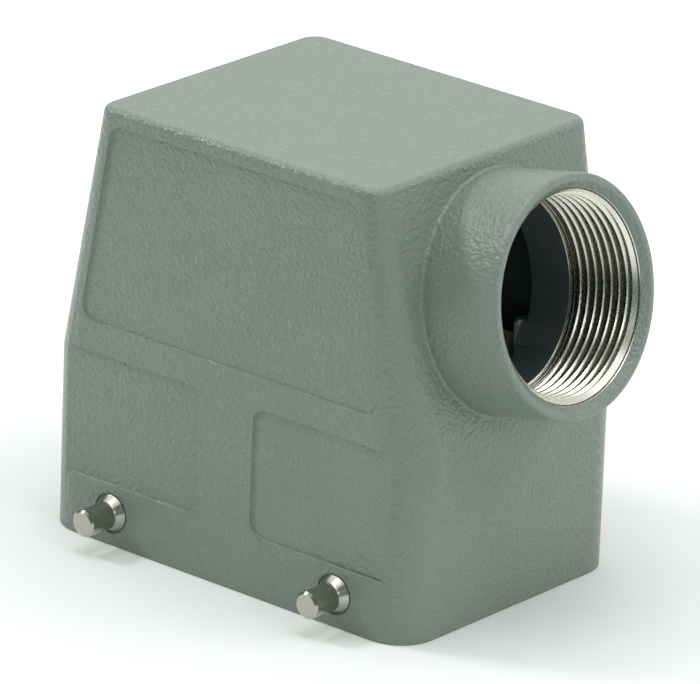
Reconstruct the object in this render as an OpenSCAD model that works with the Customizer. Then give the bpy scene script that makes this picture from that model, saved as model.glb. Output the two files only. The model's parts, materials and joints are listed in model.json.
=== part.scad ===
// Heavy duty rectangular connector: a die-cast hood with side cable entry, four locking pegs
// and a ten-pole screw-terminal insert. The hood stands on its rim.
// Origin: centre of the rim, on the plane that the hood stands on. +X points to the cable
// entry, +Y across the hood, +Z up to its roof. Millimetres.

/* [Hood shell] */
// Gap between each end of the insert's flange and the inside of the hood
flange_gap = 0.9; // [0.6:0.1:3]
// Width over the rim
hood_w = 50.4; // [48:0.2:60]
// Height from rim to roof
hood_h = 70; // [66:0.2:84]
// Height at which the end walls start to lean inwards
break_h = 29.5; // [27:0.5:32]
// Length of the roof
roof_l = 55.6; // [50:0.2:62]
// Radius of the upright corners, below the break
corner_r = 6.5; // [4.5:0.5:8]
// Radius of the corners at the roof
roof_corner_r = 3.4; // [2.6:0.2:5]
// Rounding of the edge round the roof
roof_edge_r = 1.2; // [0.8:0.2:2.2]
// Wall thickness
wall = 3.6; // [2.8:0.2:4.2]

/* [Panels] */
// Depth of the recessed panels in the long walls
panel_depth = 0.4; // [0.3:0.1:1]
// Height of the lower panels' bottom edge above the rim
low_panel_z0 = 9.9; // [9.5:0.1:12]
// Height of the lower panels' top edge above the rim
low_panel_z1 = 30.4; // [24:0.2:32]
// Width of the rib between the two lower panels
rib_w = 11; // [6:0.5:16]
// Height of the upper panel's bottom edge above the rim
up_panel_z0 = 35.3; // [34:0.1:38]
// Distance from the roof down to the upper panel's top edge
up_panel_drop = 2.5; // [2:0.1:6]
// Distance from the leaning edge to the bottom corner of the upper panel
up_panel_side0 = 5.5; // [4:0.1:8]
// Distance from the leaning edge to the top corner of the upper panel
up_panel_side1 = 3.8; // [3:0.1:6]
// Corner radius of the panels
panel_r = 2.4; // [1:0.2:4]

/* [Cable entry] */
// Thread diameter of the cable entry
entry_d = 32; // [25:0.5:32]
// Depth of the thread from the foot of the dished mouth
entry_thread_l = 13; // [10:0.5:15]
// Radial depth of the thread
thread_depth = 0.8; // [0.5:0.1:1]
// Width of the chamfer where the thread starts
mouth_chamfer = 0.2; // [0.1:0.1:0.4]
// Depth of the dished mouth in the boss's face
dish_depth = 1; // [0.5:0.1:1.2]
// Width of the flat lip round the dished mouth
lip_w = 0.6; // [0.3:0.1:0.8]
// Length of the boss, from the end wall
boss_l = 14.2; // [12:0.2:19]
// Thickness of the boss's wall at its face
boss_wall = 2.5; // [2.2:0.1:3.2]
// Growth of the boss's radius from its face to its root, by the casting draft
boss_draft = 0.05; // [0:0.05:0.8]
// Rounding of the boss's outer edge
boss_edge_r = 0.6; // [0.4:0.1:1]
// Length of the collar behind the end wall
inner_collar_l = 3.6; // [2:0.2:5]
// Height of the boss's centre on the end wall, above the break
boss_up = 20; // [19:0.1:23]
// Tilt of the cable entry's axis above the horizontal
entry_tilt = 11.6; // [9:0.1:15]

/* [Locking pegs] */
// Distance of the pegs from the ends of the hood
peg_end = 14; // [10:0.5:20]
// Height of the pegs above the rim
peg_h = 5.3; // [4.5:0.1:6]
// Pin diameter of a peg
peg_d = 4.3; // [3.6:0.1:5]
// Length that a peg stands out of the wall
peg_l = 6.4; // [5:0.1:8]
// Diameter of the conical collar at the wall
collar_d = 6; // [5.4:0.1:8]
// Length of the conical collar
collar_l = 1.3; // [0.8:0.1:2]
// Chamfer of the free end
peg_chamfer = 0.35; // [0.2:0.05:0.6]
// Width of the shadow gap round a collar
collar_gap = 0.25; // [0.1:0.05:0.4]
// Depth to which a peg is pressed into the wall
peg_press_l = 2.8; // [2:0.1:3]

/* [Insert] */
// Length of the insert's flange, which sets the hood's length
flange_l = 64; // [60:0.5:80]
// Width of the insert's flange
flange_w = 34; // [32:0.5:40]
// Thickness of the flange
flange_t = 3.6; // [3:0.2:5]
// Height of the seat, which is the posts' lower end, above the rim
seat_h = 24; // [23:0.2:28]
// Distance of the fixing screws from the ends of the flange
screw_end = 3.5; // [3:0.1:4.5]
// Distance of the fixing screws from the long edges of the flange
screw_side = 3.5; // [3:0.1:4.5]
// Length of the block that carries the contacts
block_l = 46; // [44:0.5:48]
// Width of the mating block, below the flange
mating_w = 22; // [21:0.5:24]
// Height of the mating block's face above the rim
mating_h = 1.6; // [1:0.2:6]
// Width of the terminal block, above the flange
terminal_w = 32; // [31:0.5:33.5]
// Height of the terminal block over the seat
terminal_h = 12; // [11:0.2:14]
// Contacts in one row
poles = 5; // [3:1:5]
// Spacing of the contacts in a row
pole_pitch = 8.6; // [8.6:0.1:8.8]
// Spacing between the two rows
row_pitch = 12; // [11:0.2:12.4]

/* [Contacts] */
// Diameter of the socket's barrel
barrel_d = 4.2; // [3.8:0.1:4.4]
// Bore of the socket
socket_d = 2.5; // [2:0.1:2.8]
// Depth of the socket's bore
socket_l = 14; // [10:0.5:18]
// Side of the square terminal head
head_s = 6; // [5.6:0.1:6.2]
// Height of the terminal head
head_h = 8; // [7:0.2:9]
// Diameter of the wire hole in the terminal head
wire_d = 2.8; // [2.2:0.1:3]
// Diameter of the terminal screws
terminal_screw_d = 3; // [2.5:0.1:3]
// Head diameter of the terminal screws
terminal_screw_head_d = 4.4; // [3.8:0.1:4.6]
// Clearance round pieces that sit in the moulding
clearance = 0.1; // [0.05:0.01:0.15]

/* [Screws and earth plates] */
// Diameter of the fixing screws
fixing_d = 4; // [3:0.5:4]
// Head diameter of the fixing screws
fixing_head_d = 6.6; // [6:0.2:7]
// Head height of the fixing screws
fixing_head_h = 2.4; // [2:0.1:3]
// Length of the fixing screws under the head
fixing_l = 14; // [12:0.5:18]
// Diameter of the posts that the insert is screwed to
post_d = 7.6; // [7:0.2:8]
// Height of the posts
post_h = 16; // [15:0.5:20]
// Thickness of the earth plates
earth_t = 1.2; // [1:0.1:1.5]
// Diameter of the earth terminal screws
earth_screw_d = 4; // [3:0.5:4]
// Gap between the earth terminal screws and the collar of the cable entry
earth_gap = 0.4; // [0.2:0.1:1]

/* [Hidden] */
$fn = 96;
hull_fn = 32;
eps = 0.01;
// Overshoot of what is cut away
cut = 1;

// Outside and inside of the shell
inner_l = flange_l + 2 * flange_gap;
hood_l = inner_l + 2 * wall;
inner_w = hood_w - 2 * wall;
// Lean of the end walls above the break
lean_a = atan((hood_l - roof_l) / 2 / (hood_h - roof_edge_r - break_h));
inner_h = hood_h - wall;
inner_r = corner_r - wall;
inner_roof_r = 1.5;
inner_break_h = break_h - wall * tan(lean_a / 2);
inner_roof_l = inner_l - 2 * (inner_h - inner_break_h) * tan(lean_a);
up_panel_z1 = hood_h - up_panel_drop;
up_panel_w0 = 2 * (end_x(up_panel_z0) - up_panel_side0);
up_panel_w1 = 2 * (end_x(up_panel_z1) - up_panel_side1);

// Cable entry
boss_r = entry_d / 2 + boss_wall;
dish_r = boss_r - boss_edge_r - lip_w;
core_r = entry_d / 2 - thread_depth;
collar_wall = 2;
face_to_inside = boss_l + wall + inner_collar_l;
// Lowest point of the collar behind the end wall
collar_z0 = break_h + boss_up - (core_r + collar_wall) * cos(entry_tilt)
    - (wall + inner_collar_l) * sin(entry_tilt);

// Locking pegs
peg_spacing = hood_l - 2 * peg_end;
gap_depth = 0.3;
press_clearance = 0.01;

// Stack of the insert: flange, earth plate, post, from below
flange_z1 = seat_h - earth_t;
flange_z0 = flange_z1 - flange_t;
terminal_z1 = seat_h + terminal_h;
contact_recess = 1;
head_z0 = terminal_z1 - contact_recess - head_h;
barrel_z0 = mating_h + contact_recess;
contacts = 2 * poles;
key_chamfer = 3.5;
back_chamfer = 1.5;
flange_r = 2.5;

terminal_block_r = 1;
head_floor = 1;

// Screws
screw_x = flange_l - 2 * screw_end;
screw_y = flange_w - 2 * screw_side;
slot_w = 0.9;
slot_depth = 0.8;
screw_hole_clearance = 0.15;
screw_tip = 0.4;
tapped_clearance = 0.02;
blind_l = 1.5;
post_hole_l = fixing_l - flange_t - earth_t + blind_l;
terminal_head_h = 1.6;

// Earth plates: the pad rises as far as the collar above its screw lets it
earth_pad_l = 6.6;
earth_pad_w = 8;
earth_head_d = 7;
earth_screw_l = 4;
earth_blind_l = 0.5;
earth_pad_h = collar_z0 - earth_gap - terminal_head_h - seat_h;

// ---- places ----

// Sign of corner i, counted from -X -Y anticlockwise
function corner_x(i) = i == 2 || i == 3 ? 1 : -1;
function corner_y(i) = i > 2 ? 1 : -1;
// Contacts 1 to poles are in the -Y row, the others in the +Y row, both from -X
function contact_x(i) = ((i - 1) % poles - (poles - 1) / 2) * pole_pitch;
function contact_side(i) = i > poles ? 1 : -1;
function end_side(i) = i == 1 ? -1 : 1;
// Distance of the leaning end wall from the middle, at height z above the break
function end_x(z) = hood_l / 2 - (z - break_h) * tan(lean_a);

// Frame of the cable entry: +Z along its axis, from the end wall's outside
module entry_frame() {
    translate([end_x(break_h + boss_up), 0, break_h + boss_up])
        rotate([0, 90 - entry_tilt, 0])
            children();
}

// Frame of peg i: +Z outwards from the long wall
module peg_frame(i) {
    translate([corner_x(i) * peg_spacing / 2, corner_y(i) * hood_w / 2, peg_h])
        rotate([-90 * corner_y(i), 0, 0])
            children();
}

// Frame of terminal i: +Z outwards, from the outer face of its terminal head
module terminal_frame(i) {
    translate([contact_x(i), contact_side(i) * (row_pitch / 2 + head_s / 2), head_z0 + head_h / 2])
        rotate([-90 * contact_side(i), 0, 0])
            children();
}

// ---- shapes ----

function unit(v) = v / norm(v);
// Centre of the round corner of radius r at b, between neighbours a and c
function corner_centre(a, b, c, r) =
    let (u = unit(a - b), v = unit(c - b), half = acos(u * v) / 2)
    b + unit(u + v) * r / sin(half);
function outward(a, b) = let (d = unit(b - a)) [d[1], -d[0]];

// Convex outline, given anticlockwise by its sharp corners, with round corners
module rounded(points, r) {
    n = len(points);
    centres = [for (i = [0:n - 1])
        corner_centre(points[(i + n - 1) % n], points[i], points[(i + 1) % n], r)];
    polygon([for (i = [0:n - 1])
        each [centres[i] + r * outward(points[(i + n - 1) % n], points[i]),
              centres[i] + r * outward(points[i], points[(i + 1) % n])]]);
    for (c = centres) translate(c) circle(r);
}

module rounded_slab(l, w, h, r) {
    linear_extrude(h)
        rounded([[-l / 2, -w / 2], [l / 2, -w / 2], [l / 2, w / 2], [-l / 2, w / 2]], r);
}

// Disc whose upper edge is rounded, with its top at z = 0
module puck(r, edge) {
    steps = 6;
    rotate_extrude($fn = hull_fn)
        polygon(concat([[0, -edge]],
            [for (i = [0:steps])
                [r - edge + edge * cos(90 * i / steps), -edge + edge * sin(90 * i / steps)]],
            [[0, 0]]));
}

// Solid with upright sides up to the break and ends that lean inwards above it
module tapered_block(l, w, h, roof, z0, break_z, r, roof_r, edge) {
    hull() {
        for (sx = [-1, 1], sy = [-1, 1]) {
            translate([sx * (l / 2 - r), sy * (w / 2 - r), z0])
                cylinder(r = r, h = break_z - z0, $fn = hull_fn);
            translate([sx * (roof / 2 - roof_r), sy * (w / 2 - roof_r), h])
                puck(roof_r, edge);
        }
    }
}

// Slotted cheese-head screw: the shank runs up from z = 0, the head hangs below it
module screw(d, l, head_d, head_h) {
    difference() {
        union() {
            translate([0, 0, -head_h]) cylinder(d = head_d, h = head_h);
            cylinder(d = d, h = l - screw_tip);
            translate([0, 0, l - screw_tip]) cylinder(d1 = d, d2 = d - 2 * screw_tip, h = screw_tip);
        }
        translate([-head_d, -slot_w / 2, -head_h - cut])
            cube([2 * head_d, slot_w, slot_depth + cut]);
    }
}

// ---- hood ----

// Outline of the upper panel, on the long wall
module upper_panel() {
    rounded([[-up_panel_w0 / 2, up_panel_z0], [up_panel_w0 / 2, up_panel_z0],
             [up_panel_w1 / 2, up_panel_z1], [-up_panel_w1 / 2, up_panel_z1]], panel_r);
}

// Outline of the lower panel on the +X side; it runs out round the corner
module lower_panel() {
    rounded([[rib_w / 2, low_panel_z0], [hood_l / 2 + 2 * panel_r, low_panel_z0],
             [hood_l / 2 + 2 * panel_r, low_panel_z1], [rib_w / 2, low_panel_z1]], panel_r);
}

// The three shallow panels of one long wall
module panels() {
    translate([0, -hood_w / 2 + panel_depth, 0])
        rotate([90, 0, 0])
            linear_extrude(panel_depth + cut) {
                upper_panel();
                lower_panel();
                mirror([1, 0]) lower_panel();
            }
}

// Boss with its casting draft and round edge, and the collar behind the end wall
module entry_boss() {
    rotate_extrude() {
        polygon([[0, -wall], [boss_r + boss_draft, -wall], [boss_r + boss_draft, 0],
                 [boss_r, boss_l - boss_edge_r], [boss_r - boss_edge_r, boss_l - boss_edge_r],
                 [boss_r - boss_edge_r, boss_l], [0, boss_l]]);
        translate([boss_r - boss_edge_r, boss_l - boss_edge_r]) circle(boss_edge_r);
    }
    translate([0, 0, -wall - inner_collar_l])
        cylinder(r = core_r + collar_wall, h = wall + inner_collar_l);
}

// Everything that is cut out of the boss: core bore, threaded bore, chamfer and dished mouth
module entry_bore() {
    dish_z = boss_l - dish_depth;
    translate([0, 0, boss_l - face_to_inside - cut])
        cylinder(r = core_r, h = face_to_inside + cut);
    translate([0, 0, dish_z - entry_thread_l]) cylinder(d = entry_d, h = entry_thread_l);
    translate([0, 0, dish_z - mouth_chamfer])
        cylinder(r1 = entry_d / 2, r2 = entry_d / 2 + mouth_chamfer, h = mouth_chamfer);
    translate([0, 0, dish_z])
        cylinder(r1 = entry_d / 2 + mouth_chamfer, r2 = dish_r, h = dish_depth);
    translate([0, 0, boss_l]) cylinder(r = dish_r, h = cut);
}

// One of the four posts, with the web that ties it to the end wall
module post(i) {
    translate([corner_x(i) * screw_x / 2, corner_y(i) * screw_y / 2, seat_h]) {
        cylinder(d = post_d, h = post_h);
        translate([corner_x(i) > 0 ? 0 : -(inner_l - screw_x) / 2 - eps, -post_d / 4, 0])
            cube([(inner_l - screw_x) / 2 + eps, post_d / 2, post_h]);
    }
}

module hood() {
    color("#76867a")
    difference() {
        union() {
            difference() {
                tapered_block(hood_l, hood_w, hood_h, roof_l, 0, break_h,
                              corner_r, roof_corner_r, roof_edge_r);
                tapered_block(inner_l, inner_w, inner_h, inner_roof_l, -cut, inner_break_h,
                              inner_r, inner_roof_r, inner_roof_r - eps);
            }
            intersection() {
                tapered_block(hood_l - wall, hood_w - wall, hood_h - wall / 2, roof_l - wall,
                              0, break_h, corner_r, roof_corner_r, roof_edge_r);
                for (i = [1:4]) post(i);
            }
            entry_frame() entry_boss();
        }
        entry_frame() entry_bore();
        panels();
        mirror([0, 1, 0]) panels();
        for (i = [1:4]) {
            peg_frame(i) {
                translate([0, 0, -peg_press_l])
                    cylinder(d = peg_d + 2 * press_clearance, h = peg_press_l + cut);
                translate([0, 0, -gap_depth])
                    cylinder(d = collar_d + 2 * collar_gap, h = gap_depth + cut);
            }
            translate([corner_x(i) * screw_x / 2, corner_y(i) * screw_y / 2, seat_h - cut])
                cylinder(d = fixing_d + 2 * tapped_clearance, h = post_hole_l + cut);
        }
    }
}

// ---- locking pegs ----

module locking_peg(i) {
    color("#8d8f80")
    peg_frame(i)
        rotate_extrude()
            polygon([[0, -peg_press_l], [peg_d / 2, -peg_press_l], [peg_d / 2, -gap_depth],
                     [collar_d / 2, -gap_depth], [collar_d / 2, 0], [peg_d / 2, collar_l],
                     [peg_d / 2, peg_l - peg_chamfer], [peg_d / 2 - peg_chamfer, peg_l],
                     [0, peg_l]]);
}

// ---- insert ----

// Plan of the mating block, with larger chamfers at one end as the polarising key
module mating_plan() {
    l = block_l / 2;
    w = mating_w / 2;
    polygon([[-l + back_chamfer, -w], [l - key_chamfer, -w], [l, -w + key_chamfer],
             [l, w - key_chamfer], [l - key_chamfer, w], [-l + back_chamfer, w],
             [-l, w - back_chamfer], [-l, -w + back_chamfer]]);
}

// Chamber of contact i, with its access hole for the screwdriver
module chamber(i) {
    s = head_s + 2 * clearance;
    translate([contact_x(i), contact_side(i) * row_pitch / 2, 0]) {
        translate([0, 0, mating_h - cut])
            cylinder(d = barrel_d + 2 * clearance, h = head_z0 - mating_h + 2 * cut);
        translate([-s / 2, -s / 2, head_z0]) cube([s, s, terminal_z1 - head_z0 + cut]);
    }
    terminal_frame(i) cylinder(d = terminal_screw_head_d + 4 * clearance, h = terminal_w);
}

module insert_body() {
    color("#c9c8bd")
    difference() {
        union() {
            translate([0, 0, mating_h]) linear_extrude(flange_z0 - mating_h + eps) mating_plan();
            translate([0, 0, flange_z0]) rounded_slab(flange_l, flange_w, flange_t, flange_r);
            translate([0, 0, flange_z1 - eps])
                rounded_slab(block_l, terminal_w, terminal_z1 - flange_z1 + eps, terminal_block_r);
        }
        for (i = [1:contacts]) chamber(i);
        for (i = [1:4])
            translate([corner_x(i) * screw_x / 2, corner_y(i) * screw_y / 2, flange_z0 - cut])
                cylinder(d = fixing_d + 2 * screw_hole_clearance, h = flange_t + 2 * cut);
    }
}

module contact(i) {
    color("#cfcabc")
    difference() {
        translate([contact_x(i), contact_side(i) * row_pitch / 2, 0])
            difference() {
                union() {
                    translate([0, 0, barrel_z0]) cylinder(d = barrel_d, h = head_z0 - barrel_z0 + eps);
                    translate([-head_s / 2, -head_s / 2, head_z0]) cube([head_s, head_s, head_h]);
                }
                translate([0, 0, barrel_z0 - cut]) cylinder(d = socket_d, h = socket_l + cut);
                translate([0, 0, head_z0 + head_floor]) cylinder(d = wire_d, h = head_h);
            }
        terminal_frame(i)
            translate([0, 0, -head_s / 2])
                cylinder(d = terminal_screw_d + 2 * tapped_clearance, h = head_s / 2 + cut);
    }
}

module terminal_screw(i) {
    reach = (head_s - wire_d) / 2;
    color("#b9bcb8")
    terminal_frame(i)
        rotate([180, 0, 0])
            screw(terminal_screw_d, reach, terminal_screw_head_d, terminal_head_h);
}

// Plate i lies on the flange's end; its pad takes the earth wire's screw
module earth_plate(i) {
    x0 = block_l / 2 + 2 * clearance;
    x1 = flange_l / 2 - 2 * clearance;
    color("#b5b7b2")
    mirror([end_side(i) < 0 ? 1 : 0, 0, 0])
        difference() {
            union() {
                translate([x0, -flange_w / 2 + clearance, flange_z1])
                    cube([x1 - x0, flange_w - 2 * clearance, earth_t]);
                translate([(x0 + x1 - earth_pad_l) / 2, -earth_pad_w / 2, flange_z1])
                    cube([earth_pad_l, earth_pad_w, earth_t + earth_pad_h]);
            }
            for (s = [-1, 1])
                translate([screw_x / 2, s * screw_y / 2, flange_z1 - cut])
                    cylinder(d = fixing_d + 2 * screw_hole_clearance, h = earth_t + 2 * cut);
            translate([(x0 + x1) / 2, 0, seat_h + earth_pad_h - earth_screw_l - earth_blind_l])
                cylinder(d = earth_screw_d + 2 * tapped_clearance,
                         h = earth_screw_l + earth_blind_l + cut);
        }
}

module earth_screw(i) {
    x = (block_l + flange_l) / 4;
    color("#b9bcb8")
    translate([end_side(i) * x, 0, seat_h + earth_pad_h])
        rotate([180, 0, 0])
            screw(earth_screw_d, earth_screw_l, earth_head_d, terminal_head_h);
}

module fixing_screw(i) {
    color("#b9bcb8")
    translate([corner_x(i) * screw_x / 2, corner_y(i) * screw_y / 2, flange_z0])
        screw(fixing_d, fixing_l, fixing_head_d, fixing_head_h);
}

hood();
insert_body();
for (i = [1:4]) {
    locking_peg(i);
    fixing_screw(i);
}
for (i = [1:contacts]) {
    contact(i);
    terminal_screw(i);
}
for (i = [1:2]) {
    earth_plate(i);
    earth_screw(i);
}
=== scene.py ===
import json
import math

import bmesh
import bpy
from mathutils import Matrix, Vector


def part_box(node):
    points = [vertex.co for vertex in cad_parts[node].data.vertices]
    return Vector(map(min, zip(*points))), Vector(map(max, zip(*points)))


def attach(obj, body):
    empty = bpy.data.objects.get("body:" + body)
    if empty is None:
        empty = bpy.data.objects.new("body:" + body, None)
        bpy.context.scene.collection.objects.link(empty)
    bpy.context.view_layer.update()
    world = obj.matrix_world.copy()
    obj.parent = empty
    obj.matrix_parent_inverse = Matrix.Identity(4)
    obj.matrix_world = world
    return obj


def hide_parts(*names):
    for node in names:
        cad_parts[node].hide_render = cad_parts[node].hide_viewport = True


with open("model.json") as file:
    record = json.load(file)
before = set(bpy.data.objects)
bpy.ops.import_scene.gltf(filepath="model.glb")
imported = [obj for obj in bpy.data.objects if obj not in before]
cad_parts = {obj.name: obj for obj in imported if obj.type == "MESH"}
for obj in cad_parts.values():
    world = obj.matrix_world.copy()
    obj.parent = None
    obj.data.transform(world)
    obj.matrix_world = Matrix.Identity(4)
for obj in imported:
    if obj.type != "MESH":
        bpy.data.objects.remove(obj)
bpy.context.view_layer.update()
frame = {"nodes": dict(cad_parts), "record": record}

# Heavy duty rectangular connector: a die-cast hood with a threaded side cable entry, four
# turned locking pegs and a ten-pole insert. Everything is in metres, in the model's frame:
# +X towards the cable entry, +Z from the rim up to the roof.

MM = 0.001
mounts = {m["name"]: m for m in frame["record"]["mounts"]}

# ---- sizes ----

HOOD_LOW, HOOD_HIGH = (Vector(corner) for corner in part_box("hood"))
WALL = 3.6 * MM
PANEL_DEPTH = 0.4 * MM
BREAK_H = 29.5 * MM
ROOF_L = 55.6 * MM

# Cable entry: its axis and mouth, the bare thread (a metric one) and the core bore. Places
# along the axis count from the boss's face, and are negative inside.
ENTRY_AXIS = Vector(mounts["cable_entry"]["axis"]).normalized()
ENTRY_R = mounts["cable_entry"]["dims"]["r_mm"] * MM
MOUTH_CHAMFER = 0.2 * MM
DISH_DEPTH = 1 * MM
THREAD_L = mounts["cable_entry"]["dims"]["length_mm"] * MM + MOUTH_CHAMFER
THREAD_END = -DISH_DEPTH - THREAD_L
ENTRY_FACE = (Vector(mounts["cable_entry"]["pos_m"])
              + ENTRY_AXIS * (DISH_DEPTH + (THREAD_L + MOUTH_CHAMFER) / 2))
PITCH = 1.5 * MM
THREAD_DEPTH = 0.8 * MM
CORE_R = ENTRY_R - THREAD_DEPTH
BOSS_WALL = 2.5 * MM
BOSS_R = ENTRY_R + BOSS_WALL
MOUTH_LIP = 1.2 * MM
DISH_R = BOSS_R - MOUTH_LIP
BOSS_L = 14.2 * MM

# Locking pegs; lengths along a peg count from the hood's long wall
PEG_R = mounts["locking_peg_1"]["dims"]["r_mm"] * MM
PEG_L = 6.4 * MM
PEG_PRESS_L = 2.8 * MM
PEG_SEAT = 0.3 * MM
PEG_COLLAR_R = 3 * MM
PEG_COLLAR_L = 1.3 * MM
PEG_CHAMFER = 0.35 * MM
TOOL_MARK = 0.012 * MM

# The hood's rim band with the pegs keeps crisp edges; its long wall stands this far out
PEG_BAND = 9 * MM
HOOD_HIGH_WALL = 25.2 * MM

# The thread as cut: steps in each turn, and the run-out behind its last turn
THREAD_STEPS = 96
RUN_OUT_L = 1.9 * MM
RUN_OUT_GROOVES = 3

# Softness of the hood's edges, as shares of the full softness
EDGE_SOFTNESS = 0.5 * MM
DISH_SHARE = 0.4
PANEL_SHARE = 0.36
CASTING_SHARE = 0.6
SHARP_FROM = math.radians(32)

# Bench allowances: how near counts as on a face, and how far the ridge sits in the bore
NEAR = 0.06 * MM
EMBED = 0.05 * MM


# ---- materials ----

def linear(code):
    """An sRGB hex colour as linear RGBA."""
    parts = [int(code[i:i + 2], 16) / 255 for i in (1, 3, 5)]
    return [c / 12.92 if c <= 0.04045 else ((c + 0.055) / 1.055) ** 2.4 for c in parts] + [1]


def add(tree, kind, settings=None, **inputs):
    """A new node with its settings. An input is named, or numbered as i0, and takes a value
    or another node's output."""
    new = tree.nodes.new(kind)
    for key, value in (settings or {}).items():
        setattr(new, key, value)
    for key, value in inputs.items():
        numbered = key[0] == "i" and key[1:].isdigit()
        socket = new.inputs[int(key[1:])] if numbered else new.inputs[key.replace("_", " ")]
        if isinstance(value, bpy.types.NodeSocket):
            tree.links.new(value, socket)
        else:
            socket.default_value = value
    return new


def new_material(name):
    m = bpy.data.materials.new(name)
    m.use_nodes = True
    return m, m.node_tree, m.node_tree.nodes["Principled BSDF"]


def powder_coat(name, dark, light, depth):
    """Textured polyester powder coat on die-cast aluminium. Its leathery wrinkles are about
    0.7 mm across and break each light's reflection up into bright specks."""
    m, t, shader = new_material(name)
    place = add(t, "ShaderNodeTexCoord").outputs["Object"]
    drift = add(t, "ShaderNodeTexNoise", Vector=place, Scale=900.0, Detail=1.0)
    bent = add(t, "ShaderNodeVectorMath", {"operation": "MULTIPLY_ADD"}, i0=drift.outputs["Color"],
               i1=(0.5 * MM, 0.5 * MM, 0.5 * MM), i2=place)
    wrinkle = add(t, "ShaderNodeTexNoise", Vector=bent.outputs[0], Scale=1500.0, Detail=2.0,
                  Roughness=0.55)
    grit = add(t, "ShaderNodeTexNoise", Vector=place, Scale=5200.0, Detail=1.0)
    cloud = add(t, "ShaderNodeTexNoise", Vector=place, Scale=70.0, Detail=2.0)
    tint = add(t, "ShaderNodeMix", {"data_type": "RGBA"}, i0=cloud.outputs["Fac"],
               i6=linear(dark), i7=linear(light))
    coarse = add(t, "ShaderNodeBump", Strength=1.0, Distance=depth,
                 Height=wrinkle.outputs["Fac"])
    fine = add(t, "ShaderNodeBump", Strength=0.5, Distance=depth / 6,
               Height=grit.outputs["Fac"], Normal=coarse.outputs["Normal"])
    t.links.new(tint.outputs[2], shader.inputs["Base Color"])
    t.links.new(fine.outputs["Normal"], shader.inputs["Normal"])
    shader.inputs["Roughness"].default_value = 0.22
    shader.inputs["IOR"].default_value = 1.5
    return m


def bare_metal(name, colour, roughness, grain, grain_depth):
    """Machined, cast or plated metal; grain is the size of its tool marks."""
    m, t, shader = new_material(name)
    place = add(t, "ShaderNodeTexCoord").outputs["Object"]
    marks = add(t, "ShaderNodeTexNoise", Vector=place, Scale=1 / grain, Detail=3.0)
    worn = add(t, "ShaderNodeMapRange", i0=marks.outputs["Fac"],
               i3=roughness * 0.8, i4=roughness * 1.3)
    bump = add(t, "ShaderNodeBump", Strength=1.0, Distance=grain_depth,
               Height=marks.outputs["Fac"])
    shader.inputs["Base Color"].default_value = linear(colour)
    shader.inputs["Metallic"].default_value = 1
    t.links.new(worn.outputs["Result"], shader.inputs["Roughness"])
    t.links.new(bump.outputs["Normal"], shader.inputs["Normal"])
    return m


def moulded_plastic():
    """Glass-filled polycarbonate, moulded with a fine spark-eroded skin."""
    m, t, shader = new_material("moulded_polycarbonate")
    place = add(t, "ShaderNodeTexCoord").outputs["Object"]
    skin = add(t, "ShaderNodeTexNoise", Vector=place, Scale=4000.0, Detail=2.0)
    bump = add(t, "ShaderNodeBump", Strength=0.3, Distance=0.02 * MM,
               Height=skin.outputs["Fac"])
    tone = add(t, "ShaderNodeMix", {"data_type": "RGBA"}, i0=skin.outputs["Fac"],
               i6=linear("#C4C2B6"), i7=linear("#CDCBC0"))
    t.links.new(tone.outputs[2], shader.inputs["Base Color"])
    t.links.new(bump.outputs["Normal"], shader.inputs["Normal"])
    shader.inputs["Roughness"].default_value = 0.55
    return m


# Grey-green textured coat outside; inside, the same coat darker and with little texture, its
# darkness painted shade for the unlit interior and core bore
COAT = powder_coat("powder_coat_grey_green", "#829287", "#8B9B90", depth=0.34 * MM)
PAINTED_SHADE_INSIDE = powder_coat("darker_coat_painted_shade", "#566666", "#5B6B6B", depth=0.04 * MM)

# Bare aluminium from the thread cutter: pale, a little warm, with soft streaks of light
MACHINED = bare_metal("machined_aluminium", "#CFCFC2", 0.26, 0.4 * MM, 0.003 * MM)
# Stainless steel off the lathe: greyer, with clear highlights on the faced ends
STAINLESS = bare_metal("turned_stainless", "#B4B3A8", 0.24, 0.5 * MM, 0.002 * MM)
# Zinc plate on steel: cool and slightly dull
ZINC = bare_metal("zinc_plated_steel", "#C3C6C8", 0.3, 0.4 * MM, 0.006 * MM)
# Silver plate on the turned contacts: bright and warm
SILVER = bare_metal("silver_plated_contact", "#D8D4C8", 0.25, 0.4 * MM, 0.004 * MM)
PLASTIC = moulded_plastic()


# ---- tools for the bench ----

def only(piece):
    """Selects this piece alone."""
    bpy.ops.object.select_all(action="DESELECT")
    piece.select_set(True)
    bpy.context.view_layer.objects.active = piece


def apply_modifier(piece, kind, **settings):
    only(piece)
    mod = piece.modifiers.new(kind.lower(), kind)
    for key, value in settings.items():
        setattr(mod, key, value)
    bpy.ops.object.modifier_apply(modifier=mod.name)


def in_edit_mode(piece, *steps):
    """Runs steps on the whole of the piece's mesh."""
    only(piece)
    bpy.ops.object.mode_set(mode="EDIT")
    bpy.ops.mesh.select_all(action="SELECT")
    for step in steps:
        step()
    bpy.ops.object.mode_set(mode="OBJECT")


def place_mesh(piece, matrix):
    """Puts the piece's place into its mesh and leaves the object at the origin."""
    piece.data.transform(matrix @ piece.matrix_world)
    piece.matrix_world = Matrix.Identity(4)
    piece.data.update()


def finish_piece(piece, slot, *replaced):
    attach(piece, "root")
    if replaced:
        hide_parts(*replaced)


def paint(piece, *finishes):
    piece.data.materials.clear()
    for finish in finishes:
        piece.data.materials.append(finish)


def merged_copy(source, name):
    """A copy of a CAD node whose loose triangles are joined into flat faces."""
    piece = bpy.data.objects.new(name, frame["nodes"][source].data.copy())
    bpy.context.scene.collection.objects.link(piece)
    in_edit_mode(piece,
                 lambda: bpy.ops.mesh.remove_doubles(threshold=0.002 * MM),
                 lambda: bpy.ops.mesh.dissolve_limited(angle_limit=math.radians(0.6)))
    return piece


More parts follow.
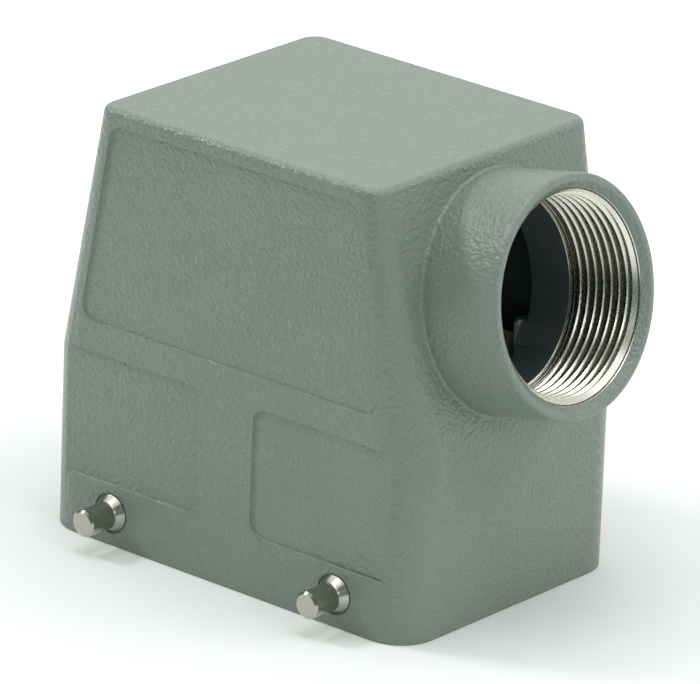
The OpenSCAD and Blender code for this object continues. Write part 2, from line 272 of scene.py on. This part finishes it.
def shade(piece, angle=35):
    """Smooth shading that stops at sharp edges and keeps large faces flat."""
    only(piece)
    bpy.ops.object.shade_smooth_by_angle(angle=math.radians(angle))
    apply_modifier(piece, "WEIGHTED_NORMAL", keep_sharp=True, weight=50)


def turned(name, profile, closed=False, sides=96):
    """A piece turned about Z from the profile's (radius, z) points. A closed profile makes a
    ring, and an open one gets a flat face at each end."""
    bpy.ops.object.select_all(action="DESELECT")
    bpy.ops.mesh.primitive_circle_add(vertices=sides, radius=profile[0][0],
                                      location=(0, 0, profile[0][1]))
    piece = bpy.context.object
    piece.name = name
    place_mesh(piece, Matrix.Identity(4))
    path = list(profile) + ([profile[0]] if closed else [])

    def sweep():
        for (r0, z0), (r1, z1) in zip(path, path[1:]):
            bpy.ops.mesh.extrude_region_move(TRANSFORM_OT_translate={"value": (0, 0, z1 - z0)})
            bpy.ops.transform.resize(value=(r1 / r0, r1 / r0, 1))
        bpy.ops.mesh.select_all(action="SELECT")
        if closed:
            bpy.ops.mesh.remove_doubles(threshold=0.0005 * MM)
        else:
            bpy.ops.mesh.fill_holes(sides=0)
            bpy.ops.mesh.select_all(action="SELECT")
        bpy.ops.mesh.normals_make_consistent(inside=False)

    in_edit_mode(piece, sweep)
    return piece


def frame_on(axis, origin):
    """The matrix that puts Z on the axis and the origin in its place."""
    return Matrix.Translation(origin) @ axis.to_track_quat("Z", "Y").to_matrix().to_4x4()


# ---- hood ----

ROOF_EDGE_R = 1.2 * MM
LEAN = (-HOOD_LOW.x - ROOF_L / 2) / (HOOD_HIGH.z - ROOF_EDGE_R - BREAK_H)


def from_entry(point):
    """A point's distance from the entry's axis, and its place along it from the face."""
    along = (point - ENTRY_FACE).dot(ENTRY_AXIS)
    return (point - ENTRY_FACE - ENTRY_AXIS * along).length, along


def inside_shell(point):
    """Whether a point lies on or behind the shell's inner faces."""
    end = -HOOD_LOW.x - WALL - max(0, point.z - BREAK_H) * LEAN
    return (abs(point.y) < HOOD_HIGH.y - WALL + NEAR and abs(point.x) < end + 2 * NEAR
            and NEAR < point.z < HOOD_HIGH.z - WALL + NEAR)


def softness(a, b):
    """How much of the full softness the edge between two corners gets."""
    radius, along = from_entry((a + b) / 2)
    if along > -BOSS_L - WALL and radius < BOSS_R + MM and a.x > 0:
        if abs(radius - DISH_R) < 2 * NEAR and along > -DISH_DEPTH / 2:
            return DISH_SHARE
        return 1 if radius > BOSS_R - 2 * NEAR and along < 2 * WALL - BOSS_L else 0
    if min(a.z, b.z) > NEAR and inside_shell((a + b) / 2):
        return 0
    middle = (a + b) / 2
    if NEAR < middle.z < PEG_BAND:
        return 0
    on_panel = abs(middle.y) > HOOD_HIGH_WALL - 2 * PANEL_DEPTH and middle.z > NEAR
    return PANEL_SHARE if on_panel else CASTING_SHARE


def hood_finish(face, corners):
    """0 coated, 1 bare thread bore, 2 inside, darkened as painted shade."""
    places = [from_entry(corners[i].co) for i in face.vertices]
    # The core bore past the thread and the faces inside the shell take the darker coat: painted
    # shade for the unlit interior
    if max(radius for radius, _ in places) < ENTRY_R + 2 * MOUTH_CHAMFER:
        if min(along for _, along in places) > THREAD_END - NEAR:
            return 1
        return 2
    return 2 if all(inside_shell(corners[i].co) for i in face.vertices) else 0


def cast_hood():
    """The casting, with its outer edges softened as by the die and the coat."""
    hood = merged_copy("hood", "hood_casting")
    corners = hood.data.vertices
    weight = hood.data.attributes.new("bevel_weight_edge", "FLOAT", "EDGE")
    sides = {}
    for face in hood.data.polygons:
        for key in face.edge_keys:
            sides.setdefault(key, []).append(face.normal)
    for i, edge in enumerate(hood.data.edges):
        normals = sides.get(edge.key, [])
        if len(normals) == 2 and normals[0].angle(normals[1], 0) > SHARP_FROM:
            weight.data[i].value = softness(*(corners[v].co for v in edge.vertices))
    apply_modifier(hood, "BEVEL", width=EDGE_SOFTNESS, segments=3, limit_method="WEIGHT",
                   use_clamp_overlap=False)
    shade(hood)
    paint(hood, COAT, MACHINED, PAINTED_SHADE_INSIDE)
    for face in hood.data.polygons:
        face.material_index = hood_finish(face, hood.data.vertices)
    finish_piece(hood, "powder_coat", "hood")


# ---- thread ----

def entry_thread():
    """The metric internal thread: one ridge wound down the bore and trimmed to its ends."""
    slant = math.tan(math.radians(30))    # half of the metric thread's 60 degrees
    crest_w = PITCH / 4
    root_w = crest_w + 2 * (THREAD_DEPTH + EMBED) * slant
    turns = (THREAD_L - RUN_OUT_L) / PITCH + 2
    bpy.ops.object.select_all(action="DESELECT")
    bpy.ops.mesh.primitive_plane_add(size=1)
    ridge = bpy.context.object
    ridge.name = "entry_thread"

    def section():
        bpy.ops.transform.rotate(value=math.pi / 2, orient_axis="X", center_override=(0, 0, 0))
        bpy.ops.transform.resize(value=(THREAD_DEPTH + EMBED, 1, root_w))
        bpy.ops.transform.translate(value=(ENTRY_R - THREAD_DEPTH / 2 + EMBED / 2, 0,
                                           THREAD_END + RUN_OUT_L - PITCH))

    in_edit_mode(ridge, section)
    middle = THREAD_END + RUN_OUT_L - PITCH
    for corner in ridge.data.vertices:
        if corner.co.x < ENTRY_R - THREAD_DEPTH / 2:
            corner.co.z = middle + (corner.co.z - middle) * crest_w / root_w
    apply_modifier(ridge, "SCREW", angle=2 * math.pi * turns, screw_offset=PITCH * turns,
                   steps=int(THREAD_STEPS * turns), render_steps=int(THREAD_STEPS * turns),
                   axis="Z", use_smooth_shade=False)
    in_edit_mode(ridge, lambda: bpy.ops.mesh.remove_doubles(threshold=0.0005 * MM),
                 lambda: bpy.ops.mesh.fill_holes(sides=0),
                 lambda: bpy.ops.mesh.select_all(action="SELECT"),
                 lambda: bpy.ops.mesh.normals_make_consistent(inside=False))
    far = ENTRY_R + 2 * EMBED
    plug = turned("thread_trim", [(far, THREAD_END + RUN_OUT_L),
                                  (far, -DISH_DEPTH - MOUTH_CHAMFER - EMBED),
                                  (ENTRY_R - THREAD_DEPTH - EMBED, -DISH_DEPTH - MOUTH_CHAMFER
                                   - EMBED - THREAD_DEPTH)], sides=192)
    apply_modifier(ridge, "BOOLEAN", object=plug, operation="INTERSECT", solver="EXACT")
    bpy.data.objects.remove(plug)
    place_mesh(ridge, frame_on(ENTRY_AXIS, ENTRY_FACE))
    shade(ridge, 25)
    paint(ridge, MACHINED)
    finish_piece(ridge, "powder_coat")


def thread_run_out():
    """The fine tool grooves between the thread's last turn and the core bore."""
    land = CORE_R + 0.1 * MM
    groove = CORE_R + 0.45 * MM
    inner = []
    step = RUN_OUT_L / RUN_OUT_GROOVES
    for i in range(RUN_OUT_GROOVES):
        z = THREAD_END + i * step
        inner += [(land, z), (land, z + step * 0.45), (groove, z + step * 0.7),
                  (land, z + step * 0.98)]
    far = ENTRY_R + EMBED
    ring = turned("thread_run_out", [(far, THREAD_END + RUN_OUT_L), (far, THREAD_END)] + inner,
                  closed=True, sides=192)
    place_mesh(ring, frame_on(ENTRY_AXIS, ENTRY_FACE))
    shade(ring, 25)
    paint(ring, MACHINED)
    finish_piece(ring, "powder_coat")


# ---- locking pegs ----

def turned_peg():
    """A peg with its pressed-in root, conical collar, pin, chamfer and faced end."""
    profile = [(PEG_R, -PEG_PRESS_L), (PEG_R, -PEG_SEAT), (PEG_COLLAR_R, -PEG_SEAT),
               (PEG_COLLAR_R, 0)]
    rings = 6
    for i in range(1, rings + 1):
        mark = TOOL_MARK if i % 2 and i < rings else 0
        profile.append((PEG_COLLAR_R + (PEG_R - PEG_COLLAR_R) * i / rings - mark,
                        PEG_COLLAR_L * i / rings))
    rings = 16
    length = PEG_L - PEG_CHAMFER - PEG_COLLAR_L
    for i in range(1, rings + 1):
        mark = TOOL_MARK if i % 2 and i < rings else 0
        profile.append((PEG_R - mark, PEG_COLLAR_L + length * i / rings))
    profile.append((PEG_R - PEG_CHAMFER, PEG_L))
    rings = 8
    for i in range(1, rings):
        mark = TOOL_MARK if i % 2 else 0
        profile.append(((PEG_R - PEG_CHAMFER) * (1 - i / rings), PEG_L - mark))
    return turned("locking_peg_blank", profile)


def locking_pegs():
    """Four pegs from one blank; each stands where its mount says."""
    blank = turned_peg()
    for number in range(1, 5):
        mount = mounts[f"locking_peg_{number}"]
        axis = Vector(mount["axis"])
        root = Vector(mount["pos_m"])
        root.y = axis.y * HOOD_HIGH_WALL
        peg = bpy.data.objects.new(f"turned_peg_{number}", blank.data.copy())
        bpy.context.scene.collection.objects.link(peg)
        place_mesh(peg, frame_on(axis, root))
        shade(peg, 30)
        paint(peg, STAINLESS)
        finish_piece(peg, "stainless", f"locking_peg_{number}")
    bpy.data.objects.remove(blank)


# ---- insert ----

def softened(node, slot, finish, width):
    """A softened copy that stands for a CAD node."""
    piece = merged_copy(node, f"softened_{node}")
    apply_modifier(piece, "BEVEL", width=width, segments=2, limit_method="ANGLE",
                   angle_limit=math.radians(40), use_clamp_overlap=True)
    shade(piece)
    paint(piece, finish)
    finish_piece(piece, slot, node)


cast_hood()
entry_thread()
thread_run_out()
locking_pegs()
for name in frame["nodes"]:
    kind = name.rstrip("_0123456789")
    if kind == "insert_body":
        softened(name, "moulding", PLASTIC, 0.15 * MM)
    elif kind == "contact":
        softened(name, "contact_silver", SILVER, 0.06 * MM)
    elif kind == "earth_plate":
        softened(name, "earth_plate", ZINC, 0.1 * MM)
    elif kind.endswith("screw"):
        softened(name, "zinc_screw", ZINC, 0.1 * MM)


# ---- studio ----

# The table's glow is weak under and around the hood and rises out to here, a painted shadow on top
# of its real one; then the room's reflection sheet, a painted reflection, a part cylinder with
# azimuths counted as the lamps' are
GLOW_FROM, GLOW_FULL = 0.03, 0.13
GLOW_NEAR, GLOW_FAR = 0.13, 0.5
ROOM_R, ROOM_H, ROOM_FOOT = 1.3, 1.7, -0.01
ROOM_LEFT, ROOM_RIGHT = -110, 105
LAMPS_AIM_H = 0.035

def lamp(name, azimuth, elevation, distance, size, power):
    """A softbox that faces the hood; azimuth 0 is in front of the long wall, 90 at +X."""
    a, e = math.radians(azimuth), math.radians(elevation)
    away = Vector((math.sin(a) * math.cos(e), -math.cos(a) * math.cos(e), math.sin(e)))
    data = bpy.data.lights.new(name, "AREA")
    data.shape = "RECTANGLE"
    data.size, data.size_y = size
    data.energy = power
    box = bpy.data.objects.new(name, data)
    bpy.context.scene.collection.objects.link(box)
    box.location = Vector((0, 0, LAMPS_AIM_H)) + away * distance
    box.rotation_euler = away.to_track_quat("Z", "Y").to_euler()


def white_to_the_eye(tree):
    """1 for rays that show the background: camera, glossy and transmission rays."""
    path = add(tree, "ShaderNodeLightPath").outputs
    seen = add(tree, "ShaderNodeMath", {"operation": "MAXIMUM"},
               i0=path["Is Camera Ray"], i1=path["Is Glossy Ray"])
    return add(tree, "ShaderNodeMath", {"operation": "MAXIMUM"},
               i0=seen.outputs[0], i1=path["Is Transmission Ray"]).outputs[0]


def table_top():
    """Matt white table that glows a little to the eye, so that it runs out to white; its glow is
    weaker near the hood, a painted shadow there.
    """
    m, t, shader = new_material("white_table")
    shader.inputs["Base Color"].default_value = linear("#EFF4F0")
    shader.inputs["Roughness"].default_value = 0.8
    shader.inputs["Specular IOR Level"].default_value = 0.2
    shader.inputs["Emission Color"].default_value = (1, 1, 1, 1)
    place = add(t, "ShaderNodeTexCoord").outputs["Object"]
    away = add(t, "ShaderNodeVectorMath", {"operation": "LENGTH"}, i0=place)
    # Weaker glow near the hood: painted shadow around it
    glow_past_painted_shadow = add(t, "ShaderNodeMapRange", {"interpolation_type": "SMOOTHSTEP"},
               i0=away.outputs["Value"], i1=GLOW_FROM, i2=GLOW_FULL, i3=GLOW_NEAR, i4=GLOW_FAR)
    glow = add(t, "ShaderNodeMath", {"operation": "MULTIPLY"}, i0=white_to_the_eye(t),
               i1=glow_past_painted_shadow.outputs["Result"])
    t.links.new(glow.outputs[0], shader.inputs["Emission Strength"])
    return m


def room_reflection_sheet():
    """A glowing grey-green sheet for the unlit side of the room, in front of the table, seen only
    in reflections: a painted reflection.
    """
    bpy.ops.object.select_all(action="DESELECT")
    bpy.ops.mesh.primitive_cylinder_add(vertices=72, radius=ROOM_R, depth=ROOM_H,
                                        end_fill_type="NOTHING",
                                        location=(0, 0, ROOM_FOOT + ROOM_H / 2))
    wall = bpy.context.object
    wall.name = "room_reflection_sheet"

    def open_back():
        mesh = bmesh.from_edit_mesh(wall.data)
        behind = [v for v in mesh.verts if not
                  ROOM_LEFT < math.degrees(math.atan2(v.co.x, -v.co.y)) < ROOM_RIGHT]
        bmesh.ops.delete(mesh, geom=behind, context="VERTS")
        bmesh.update_edit_mesh(wall.data)

    in_edit_mode(wall, open_back)
    # Its grey-green glow is a painted reflection of the dim room; it lights nothing and casts no
    # shadow
    m, t, shader = new_material("painted_room_reflection")
    shader.inputs["Base Color"].default_value = linear("#1B2224")
    shader.inputs["Roughness"].default_value = 1
    shader.inputs["Emission Color"].default_value = linear("#5E6E68")
    shader.inputs["Emission Strength"].default_value = 1
    wall.data.materials.append(m)
    for kind in ("camera", "diffuse", "shadow", "transmission", "volume_scatter"):
        setattr(wall, f"visible_{kind}", False)


def studio():
    scene = bpy.context.scene
    scene.view_settings.view_transform = "Standard"
    world = bpy.data.worlds.new("studio")
    scene.world = world
    world.use_nodes = True
    t = world.node_tree
    t.nodes.clear()
    dim = add(t, "ShaderNodeBackground", Color=(1, 1, 1, 1), Strength=0.3)
    white = add(t, "ShaderNodeBackground", Color=(1, 1, 1, 1), Strength=1.0)
    mix = add(t, "ShaderNodeMixShader", i0=white_to_the_eye(t), i1=dim.outputs[0],
              i2=white.outputs[0])
    add(t, "ShaderNodeOutputWorld", Surface=mix.outputs[0])
    bpy.ops.mesh.primitive_plane_add(size=4)
    table = bpy.context.object
    table.name = "table"
    table.data.materials.append(table_top())
    room_reflection_sheet()
    lamp("overhead_softbox", 0, 88, 0.9, (0.7, 0.5), 3.2)
    lamp("left_softbox", -66, 43, 0.8, (0.16, 0.12), 1.75)
    lamp("right_softbox", 82, 27, 0.8, (0.2, 0.14), 0.45)
    lamp("upper_right_softbox", 85, 58, 0.8, (0.2, 0.26), 0.3)
    lamp("low_right_strip", 82, 13, 0.8, (0.2, 0.03), 0.06)
    lamp("back_softbox", 125, 42, 0.8, (0.25, 0.16), 0.9)


def camera(azimuth, elevation, roll, distance, lens, aim):
    """A long lens, so that the upright edges stay nearly parallel."""
    a, e = math.radians(azimuth), math.radians(elevation)
    back = Vector((math.sin(a) * math.cos(e), -math.cos(a) * math.cos(e), math.sin(e)))
    turn = back.to_track_quat("Z", "Y").to_matrix() @ Matrix.Rotation(math.radians(roll), 3, "Z")
    data = bpy.data.cameras.new("camera")
    data.sensor_width = 36
    data.lens = lens
    data.clip_end = 10
    cam = bpy.data.objects.new("camera", data)
    bpy.context.scene.collection.objects.link(cam)
    cam.matrix_world = Matrix.Translation(Vector(aim) + back * distance) @ turn.to_4x4()
    bpy.context.scene.camera = cam


studio()
camera(azimuth=39.79, elevation=20.71, roll=2.18, distance=1.1339, lens=384.2,
       aim=(2.81 * MM, 0, 33.51 * MM))
